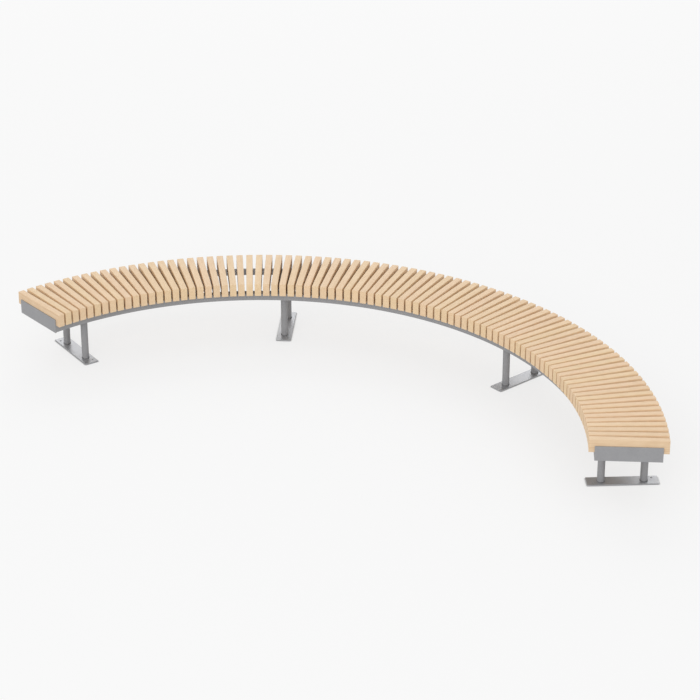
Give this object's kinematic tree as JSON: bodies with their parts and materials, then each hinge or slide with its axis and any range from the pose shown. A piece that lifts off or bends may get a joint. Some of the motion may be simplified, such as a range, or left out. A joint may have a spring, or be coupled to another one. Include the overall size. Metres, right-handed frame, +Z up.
{
  "type": "curved modular bench",
  "caption": "Curved backless modular bench: radial timber slats on two curved steel angle rails, carried by round-post leg frames with bolt-down foot plates.",
  "frame": {"origin": "middle of the bench's overall box on the ground", "axes": "+X along the bench towards its right end as seen from the hollow side, +Y from the hollow side towards the outer curve, +Z up"},
  "size_m": [4.7928, 1.7892, 0.45],
  "materials": {
    "timber": "satin",
    "frame_steel": "satin",
    "leg_steel": "satin",
    "fasteners": "satin"
  },
  "bodies": {
    "root": {"left_end_base_plate": "leg_steel", "left_end_inner_post": "leg_steel", "left_end_outer_post": "leg_steel", "left_end_plate": "frame_steel", "left_end_top_plate": "leg_steel", "left_inner_rail": "frame_steel", "left_inner_screws": "fasteners", "left_joint_base_plate": "leg_steel", "left_joint_bolts": "fasteners", "left_joint_inner_post": "leg_steel", "left_joint_outer_post": "leg_steel", "left_joint_screws": "fasteners", "left_joint_slat": "timber", "left_joint_top_plate": "leg_steel", "left_outer_rail": "frame_steel", "left_outer_screws": "fasteners", "left_slats_1": "timber", "left_slats_2": "timber", "left_slats_3": "timber", "left_slats_4": "timber", "left_slats_5": "timber", "left_slats_6": "timber", "left_slats_7": "timber", "middle_inner_rail": "frame_steel", "middle_inner_screws": "fasteners", "middle_outer_rail": "frame_steel", "middle_outer_screws": "fasteners", "middle_slats_1": "timber", "middle_slats_2": "timber", "middle_slats_3": "timber", "middle_slats_4": "timber", "middle_slats_5": "timber", "middle_slats_6": "timber", "middle_slats_7": "timber", "right_end_base_plate": "leg_steel", "right_end_inner_post": "leg_steel", "right_end_outer_post": "leg_steel", "right_end_plate": "frame_steel", "right_end_top_plate": "leg_steel", "right_inner_rail": "frame_steel", "right_inner_screws": "fasteners", "right_joint_base_plate": "leg_steel", "right_joint_bolts": "fasteners", "right_joint_inner_post": "leg_steel", "right_joint_outer_post": "leg_steel", "right_joint_screws": "fasteners", "right_joint_slat": "timber", "right_joint_top_plate": "leg_steel", "right_outer_rail": "frame_steel", "right_outer_screws": "fasteners", "right_slats_1": "timber", "right_slats_2": "timber", "right_slats_3": "timber", "right_slats_4": "timber", "right_slats_5": "timber", "right_slats_6": "timber", "right_slats_7": "timber"}
  },
  "joints": []
}
